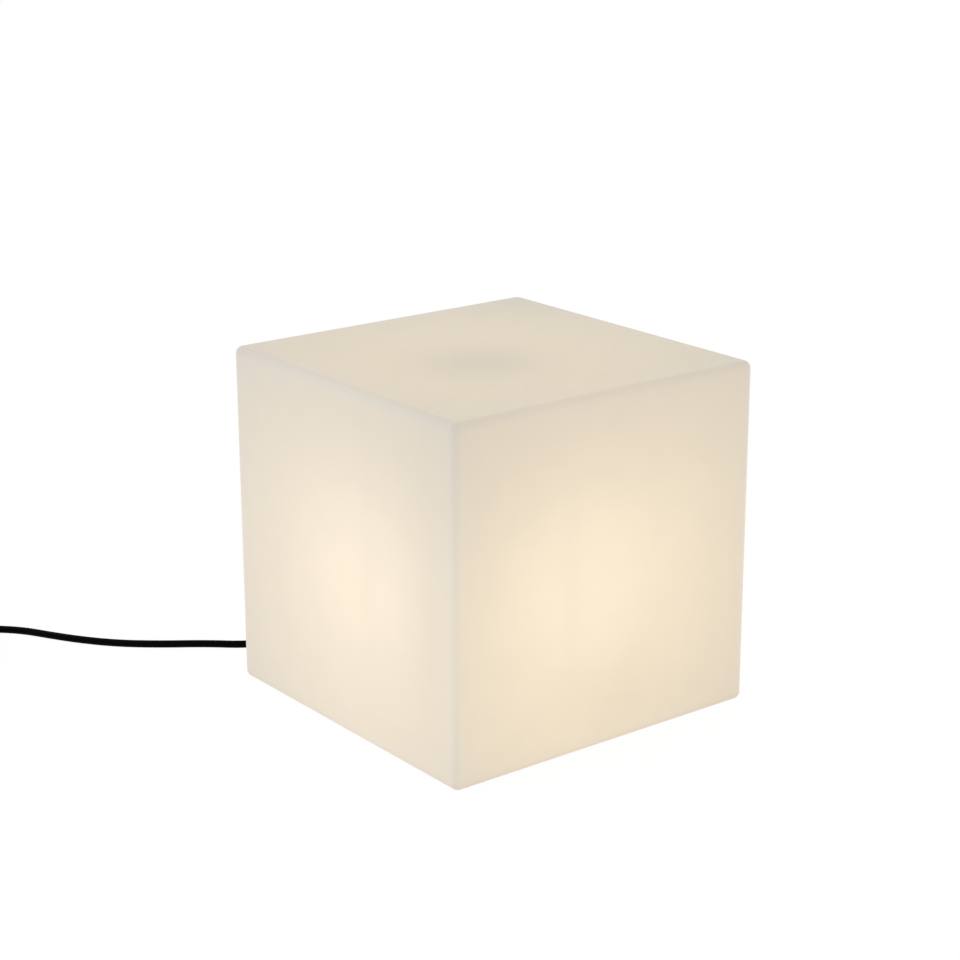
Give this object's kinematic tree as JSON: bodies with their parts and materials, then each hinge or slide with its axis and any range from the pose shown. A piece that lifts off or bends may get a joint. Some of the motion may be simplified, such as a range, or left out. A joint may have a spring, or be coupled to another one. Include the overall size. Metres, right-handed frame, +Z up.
{
  "type": "cube garden light",
  "caption": "Glowing cube garden light: seamless translucent moulded cube with rounded edges that lifts off a screw-cap lamp insert with a rubber mains lead and plug.",
  "frame": {"origin": "on the floor under the centre of the cube", "axes": "+Z up; -Y is the front face; the lead leaves at the bottom of the +Y face"},
  "size_m": [0.5379, 0.5432, 0.2925],
  "materials": {
    "shell_pe": "translucent rotomoulded polyethylene, faintly mottled satin",
    "foot_rubber": "grey rubber pads",
    "insert_plastic": "white moulded polypropylene",
    "clamp_plastic": "white nylon",
    "seal_rubber": "black sealing rubber",
    "lead_rubber": "matt black rubber sheath",
    "tie_fabric": "black woven hook-and-loop strap",
    "core_brown": "brown wire insulation",
    "core_blue": "blue wire insulation",
    "screw_steel": "zinc-plated steel",
    "nipple_steel": "yellow zinc-plated steel",
    "holder_plastic": "black moulded lampholder plastic",
    "block_ceramic": "unglazed white ceramic",
    "contact_brass": "bright brass strip",
    "pin_nickel": "nickel-plated brass pins",
    "cap_nickel": "nickel-plated screw cap",
    "cap_insulator": "black glassy insulator",
    "tip_solder": "dull solder",
    "bulb_glass": "clear thin glass",
    "stem_glass": "clear drawn glass",
    "filament_wire": "fine bright wire",
    "filament_phosphor": "yellow phosphor coating, lit"
  },
  "bodies": {
    "lamp_base": {"base_housing": "insert_plastic", "base_lid": "insert_plastic", "cord_clamp": "clamp_plastic", "lid_gasket": "seal_rubber", "neck_seal": "seal_rubber", "strain_relief": "lead_rubber", "cord_tail": "lead_rubber", "cord": "lead_rubber", "cord_coil": "lead_rubber", "cord_end": "lead_rubber", "plug_body": "lead_rubber", "coil_tie": "tie_fabric", "wire_brown": "core_brown", "wire_blue": "core_blue", "lid_screws": "screw_steel", "clamp_screws": "screw_steel", "terminal_screws": "screw_steel", "nipple": "nipple_steel", "nipple_nuts": "nipple_steel", "holder_dome": "holder_plastic", "holder_barrel": "holder_plastic", "contact_block": "block_ceramic", "screw_sleeve": "contact_brass", "centre_contact": "contact_brass", "plug_pins": "pin_nickel"},
    "cube": {"cube_shell": "shell_pe", "rubber_feet": "foot_rubber"},
    "bulb": {"bulb_globe": "bulb_glass", "bulb_cap": "cap_nickel", "bulb_insulator": "cap_insulator", "bulb_tip": "tip_solder", "bulb_stem": "stem_glass", "filament_frame": "filament_wire", "led_filaments": "filament_phosphor"}
  },
  "joints": [
    {"name": "shell_lift", "type": "slide", "parent": "lamp_base", "child": "cube", "axis": [0, 0, 1], "range_m": [0, 0.18]},
    {"name": "bulb_unscrew", "type": "slide", "parent": "lamp_base", "child": "bulb", "axis": [0, 0, 1], "range_m": [0, 0.032]}
  ]
}
